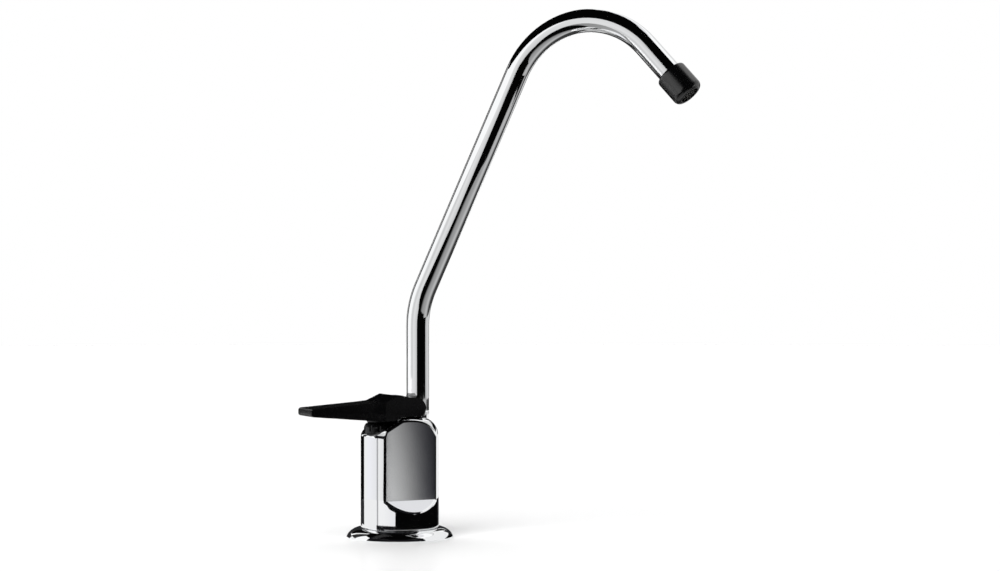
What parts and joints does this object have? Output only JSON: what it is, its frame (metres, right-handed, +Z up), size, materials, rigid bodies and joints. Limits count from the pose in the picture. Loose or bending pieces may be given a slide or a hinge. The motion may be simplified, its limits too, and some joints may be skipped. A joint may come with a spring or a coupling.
{
  "type": "drinking water filter tap",
  "caption": "Drinking water filter tap with a round flat-sided column, domed flange, black press-down lever, slanted swivelling hooked spout and threaded shank.",
  "frame": {"origin": "centre of the fixing hole on the worktop's upper surface, where the flange and gasket rest", "axes": "+Z up along the shank; the lever points along -X and the spout's swivel axis stands on the +X side"},
  "size_m": [0.1376, 0.1264, 0.2946],
  "materials": {
    "chrome": "mirror-bright plating",
    "black_plastic": "satin moulded",
    "black_nylon": "moulded",
    "white_nylon": "moulded",
    "black_rubber": "moulded",
    "brass": "turned, bare",
    "stainless_steel": "turned or drawn",
    "zinc_plated_steel": "bright zinc"
  },
  "bodies": {
    "casting": {"body_casting": "chrome", "flange": "chrome", "flange_gasket": "black_rubber", "threaded_shank": "brass", "bonnet": "black_plastic", "bonnet_seal": "black_rubber", "stem_seal": "black_rubber", "spring_washer": "stainless_steel", "return_spring": "stainless_steel", "spout_clip": "stainless_steel", "spout_bush": "black_plastic", "compression_nut": "brass", "compression_sleeve": "brass"},
    "stem": {"valve_stem": "stainless_steel", "seat_washer": "black_rubber", "seat_screw": "stainless_steel"},
    "lever": {"lever": "black_plastic", "lever_pin": "stainless_steel"},
    "spout": {"spout_tube": "chrome", "spout_ferrule": "brass", "spout_seals": "black_rubber", "spout_tip": "black_plastic", "flow_straightener": "white_nylon"},
    "fixing_stack": {"rubber_washer": "black_rubber", "locating_washer": "black_nylon", "lock_washer": "zinc_plated_steel"},
    "fixing_nut": {"fixing_nut": "brass"}
  },
  "joints": [
    {"name": "stem_lift", "type": "slide", "parent": "casting", "child": "stem", "axis": [0, 0, 1], "range_m": [0, 0.00124], "deforming": ["return_spring"]},
    {"name": "lever_press", "type": "hinge", "parent": "stem", "child": "lever", "pos_m": [-0.0087, 0, 0.0556], "axis": [0, -1, 0], "range_deg": [0, 12], "stiffness_Nm_per_rad": 0.35, "springref_deg": -28.65},
    {"name": "spout_swivel", "type": "hinge", "parent": "casting", "child": "spout", "pos_m": [0.0085, 0, 0.0506], "axis": [0, 0, 1], "continuous": true},
    {"name": "stack_slide", "type": "slide", "parent": "casting", "child": "fixing_stack", "axis": [0, 0, 1], "range_m": [-0.021, 0.017]},
    {"name": "fixing_nut_turn", "type": "hinge", "parent": "fixing_stack", "child": "fixing_nut", "pos_m": [0, 0, -0.03], "axis": [0, 0, 1], "range_deg": [-7140, 5780]}
  ],
  "couplings": [
    {"joint": "stem_lift", "follows": "lever_press", "m_per_rad": 0.005878},
    {"joint": "stack_slide", "follows": "fixing_nut_turn", "m_per_rad": 0.00016844}
  ]
}
